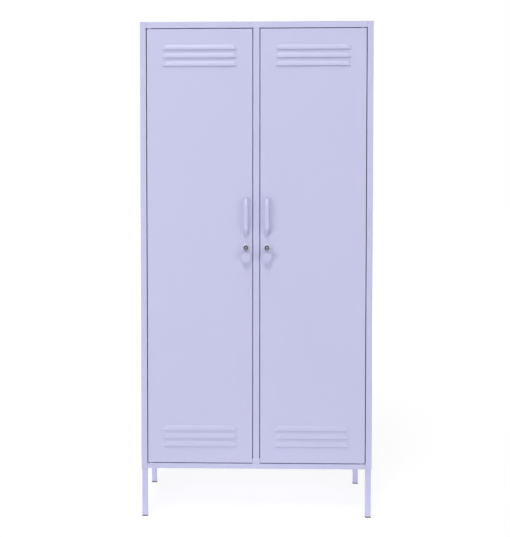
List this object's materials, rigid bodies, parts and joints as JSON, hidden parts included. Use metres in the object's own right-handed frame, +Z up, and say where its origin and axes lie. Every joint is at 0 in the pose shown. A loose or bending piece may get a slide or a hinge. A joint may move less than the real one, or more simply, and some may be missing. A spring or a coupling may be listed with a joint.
{
  "type": "locker cabinet",
  "caption": "Tall steel locker cabinet on slim square legs, with louvred inset doors, bow handles, cam locks with folding keys, and a hat shelf and hanging rail behind each door.",
  "frame": {"origin": "on the floor, under the middle of the overall box", "axes": "+X to the viewer's right, -Y out of the doors, +Z up"},
  "size_m": [0.85, 0.489, 1.825],
  "materials": {
    "body_paint": "satin lavender powder coat",
    "chrome": "bright plated",
    "steel": "zinc plated",
    "bezel_nickel": "satin nickel",
    "lock_face": "dulled dark zinc",
    "foot_plastic": "matt dark grey",
    "white_nylon": "moulded white",
    "magnet": "ferrite, matt",
    "buffer_rubber": "soft grey",
    "key_plastic": "moulded lavender, satin"
  },
  "bodies": {
    "cabinet": {"left_side_panel": "body_paint", "right_side_panel": "body_paint", "top_panel": "body_paint", "bottom_panel": "body_paint", "back_panel": "body_paint", "back_rivets": "steel", "centre_mullion": "body_paint", "mullion_foot_plate": "body_paint", "centre_partition": "body_paint", "left_shelf": "body_paint", "right_shelf": "body_paint", "shelf_runners": "body_paint", "left_hanging_rail": "chrome", "right_hanging_rail": "chrome", "rail_sockets": "steel", "leg_front_left": "body_paint", "leg_front_right": "body_paint", "leg_rear_left": "body_paint", "leg_rear_right": "body_paint", "foot_front_left": "foot_plastic", "foot_front_right": "foot_plastic", "foot_rear_left": "foot_plastic", "foot_rear_right": "foot_plastic", "leg_screws": "steel", "hinge_bushes": "white_nylon", "catch_housings": "white_nylon", "catch_magnets": "magnet", "door_buffers": "buffer_rubber"},
    "left_door": {"left_door_panel": "body_paint", "left_door_stiffener": "body_paint", "left_door_handle": "body_paint", "left_handle_screws": "steel", "left_lower_hinge_pin": "steel", "left_upper_hinge_pin": "steel", "left_lock_housing": "bezel_nickel", "left_lock_nut": "steel"},
    "left_lock": {"left_lock_plug": "lock_face", "left_lock_cam": "steel", "left_cam_screw": "steel", "left_key_blade": "steel"},
    "left_key": {"left_key_head": "key_plastic", "left_key_pin": "steel"},
    "right_door": {"right_door_panel": "body_paint", "right_door_stiffener": "body_paint", "right_door_handle": "body_paint", "right_handle_screws": "steel", "right_lower_hinge_pin": "steel", "right_upper_hinge_pin": "steel", "right_lock_housing": "bezel_nickel", "right_lock_nut": "steel"},
    "right_lock": {"right_lock_plug": "lock_face", "right_lock_cam": "steel", "right_cam_screw": "steel", "right_key_blade": "steel"},
    "right_key": {"right_key_head": "key_plastic", "right_key_pin": "steel"}
  },
  "joints": [
    {"name": "left_door_hinge", "type": "hinge", "parent": "cabinet", "child": "left_door", "pos_m": [-0.389, -0.208, 0.2], "axis": [0, 0, -1], "range_deg": [0, 110]},
    {"name": "right_door_hinge", "type": "hinge", "parent": "cabinet", "child": "right_door", "pos_m": [0.389, -0.208, 0.2], "axis": [0, 0, 1], "range_deg": [0, 110]},
    {"name": "left_lock_turn", "type": "hinge", "parent": "left_door", "child": "left_lock", "pos_m": [-0.0385, -0.216, 1.0005], "axis": [0, 1, 0], "range_deg": [0, 90]},
    {"name": "right_lock_turn", "type": "hinge", "parent": "right_door", "child": "right_lock", "pos_m": [0.0385, -0.216, 1.0005], "axis": [0, -1, 0], "range_deg": [0, 90]},
    {"name": "left_key_fold", "type": "hinge", "parent": "left_lock", "child": "left_key", "pos_m": [-0.0385, -0.238, 1.0005], "axis": [-1, 0, 0], "range_deg": [0, 90]},
    {"name": "right_key_fold", "type": "hinge", "parent": "right_lock", "child": "right_key", "pos_m": [0.0385, -0.238, 1.0005], "axis": [-1, 0, 0], "range_deg": [0, 90]}
  ]
}
